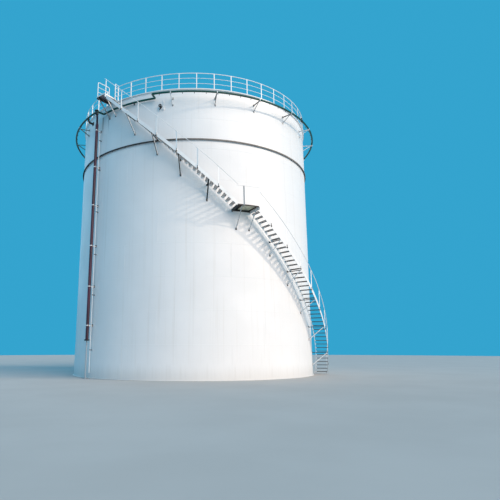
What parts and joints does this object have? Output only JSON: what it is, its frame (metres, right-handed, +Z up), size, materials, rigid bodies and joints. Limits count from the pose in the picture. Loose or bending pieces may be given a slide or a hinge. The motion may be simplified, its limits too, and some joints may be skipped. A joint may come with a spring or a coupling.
{
  "type": "vertical storage tank",
  "caption": "Upright welded steel liquid storage tank with a low dome roof, a round wall stair with landing, roof-edge handrail, wind girder and cooling spray ring.",
  "frame": {"origin": "centre of the floor plate's underside, on the ground at the tank's axis", "axes": "+Z up the tank's axis; -Y is the side that faces the viewer, 40 degrees anticlockwise of the stair head seen from above; +X is to the viewer's right"},
  "size_m": [16.6408, 16.6804, 17.8427],
  "materials": {
    "shell_paint": "weathered white paint, satin",
    "roof_paint": "weathered white paint, matt",
    "rusty_girder": "rusted dark brown",
    "ring_paint": "dark green paint, satin",
    "rail_paint": "white paint, satin",
    "tread_plate": "dark worn deck plate with grey edges",
    "riser_paint": "maroon paint, satin",
    "black_fittings": "black paint, satin",
    "bare_pipe": "blue-grey paint"
  },
  "bodies": {
    "root": {"bottom_plate": "shell_paint", "shell_segment_1": "shell_paint", "shell_segment_2": "shell_paint", "shell_segment_3": "shell_paint", "shell_segment_4": "shell_paint", "shell_segment_5": "shell_paint", "shell_segment_6": "shell_paint", "shell_segment_7": "shell_paint", "shell_segment_8": "shell_paint", "roof_segment_1": "roof_paint", "roof_segment_2": "roof_paint", "roof_segment_3": "roof_paint", "roof_segment_4": "roof_paint", "roof_crown": "roof_paint", "wind_girder_1": "rusty_girder", "wind_girder_2": "rusty_girder", "wind_girder_3": "rusty_girder", "wind_girder_4": "rusty_girder", "spray_ring_1": "ring_paint", "spray_ring_2": "ring_paint", "spray_ring_3": "ring_paint", "spray_ring_4": "ring_paint", "spray_ring_bypass": "ring_paint", "lower_stringers": "rail_paint", "lower_flight_1": "tread_plate", "lower_flight_2": "tread_plate", "upper_stringers": "rail_paint", "upper_flight": "tread_plate", "landing": "tread_plate", "entry_platform": "tread_plate", "landing_guard": "rail_paint", "upper_handrail": "rail_paint", "lower_handrail": "rail_paint", "roof_rail_1": "rail_paint", "roof_rail_2": "rail_paint", "roof_rail_3": "rail_paint", "roof_rail_4": "rail_paint", "entry_guard": "rail_paint", "riser_pipe": "riser_paint", "riser_flange": "black_fittings", "riser_foot": "bare_pipe", "conduit": "rail_paint", "ring_elbow": "black_fittings", "foam_nozzle": "black_fittings", "shell_manway": "shell_paint", "outlet_nozzle": "shell_paint", "roof_manhole": "roof_paint", "roof_vent": "roof_paint"}
  },
  "joints": []
}
